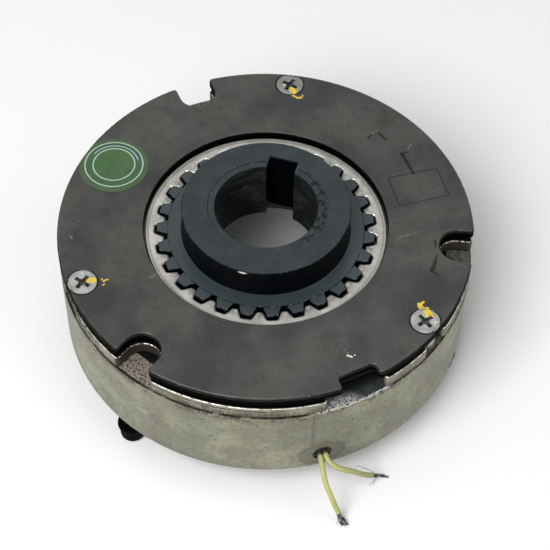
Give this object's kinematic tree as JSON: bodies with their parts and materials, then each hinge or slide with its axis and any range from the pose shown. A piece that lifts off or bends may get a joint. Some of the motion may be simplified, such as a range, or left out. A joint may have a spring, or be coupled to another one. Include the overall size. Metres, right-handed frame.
{
  "type": "spring-applied electromagnetic disc brake",
  "caption": "Flat round spring-applied brake: coil housing, armature plate and side plate clamp a toothed disc on a keyed hub.",
  "frame": {"origin": "on the shaft axis, in the plane that the heads of the three rear screws stand on", "axes": "+Z along the shaft axis towards the hub's nose; +X through the middle of one round-bottomed notch of the side plate"},
  "size_m": [0.114, 0.1211, 0.0553],
  "materials": {
    "zinc_steel": "dull yellowish zinc plating with scuffs and dark specks",
    "armature_steel": "zinc plating, worn bright along the rounded edges",
    "dark_plate_steel": "dark phosphated steel, matt, with fine scratches",
    "black_hub_steel": "blue-black oxide, satin, turned faces",
    "disc_steel": "bright tumbled steel with rounded tooth edges",
    "zinc_screw": "clear zinc plating with locking paint in the recess",
    "collar_steel": "turned steel, dull",
    "black_screw": "black oxide, slightly glossy",
    "spring_steel": "drawn spring wire",
    "coil_copper": "enamelled copper wire",
    "bobbin_plastic": "black moulded plastic",
    "potting_resin": "black casting resin",
    "black_rubber": "black moulded rubber",
    "wire_insulation": "pale yellow insulation",
    "tinned_strands": "tarnished tinned strands",
    "green_label": "green printed film with pale rings",
    "friction_facing": "brown-grey friction lining"
  },
  "bodies": {
    "field": {"field_core": "zinc_steel", "coil_bobbin": "bobbin_plastic", "coil_winding": "coil_copper", "coil_potting": "potting_resin", "lead_grommet": "black_rubber", "lead_wire_a": "wire_insulation", "lead_wire_b": "wire_insulation", "wire_strands_a": "tinned_strands", "wire_strands_b": "tinned_strands", "side_plate": "dark_plate_steel", "plate_screws": "zinc_screw", "spacer_collars": "collar_steel", "rear_screws": "black_screw", "spring_washers": "black_screw", "flat_washers": "black_screw", "inspection_label": "green_label", "brake_spring_1": "spring_steel", "brake_spring_2": "spring_steel", "brake_spring_3": "spring_steel", "brake_spring_4": "spring_steel", "brake_spring_5": "spring_steel", "brake_spring_6": "spring_steel"},
    "armature": {"armature_plate": "armature_steel"},
    "hub_body": {"hub": "black_hub_steel"},
    "disc": {"rotor_disc": "disc_steel", "upper_facing": "friction_facing", "lower_facing": "friction_facing"}
  },
  "joints": [
    {"name": "armature_slide", "type": "slide", "parent": "field", "child": "armature", "axis": [0, 0, -1], "range_m": [0, 0.0003], "stiffness_N_per_m": 30000, "springref_m": -0.005, "deforming": ["brake_spring_1", "brake_spring_2", "brake_spring_3", "brake_spring_4", "brake_spring_5", "brake_spring_6"]},
    {"name": "hub_spin", "type": "hinge", "parent": "field", "child": "hub_body", "pos_m": [0, 0, 0.045], "axis": [0, 0, 1], "continuous": true},
    {"name": "disc_float", "type": "slide", "parent": "hub_body", "child": "disc", "axis": [0, 0, -1], "range_m": [0, 0.00015]}
  ],
  "couplings": [
    {"joint": "disc_float", "follows": "armature_slide", "ratio": 0.5}
  ]
}
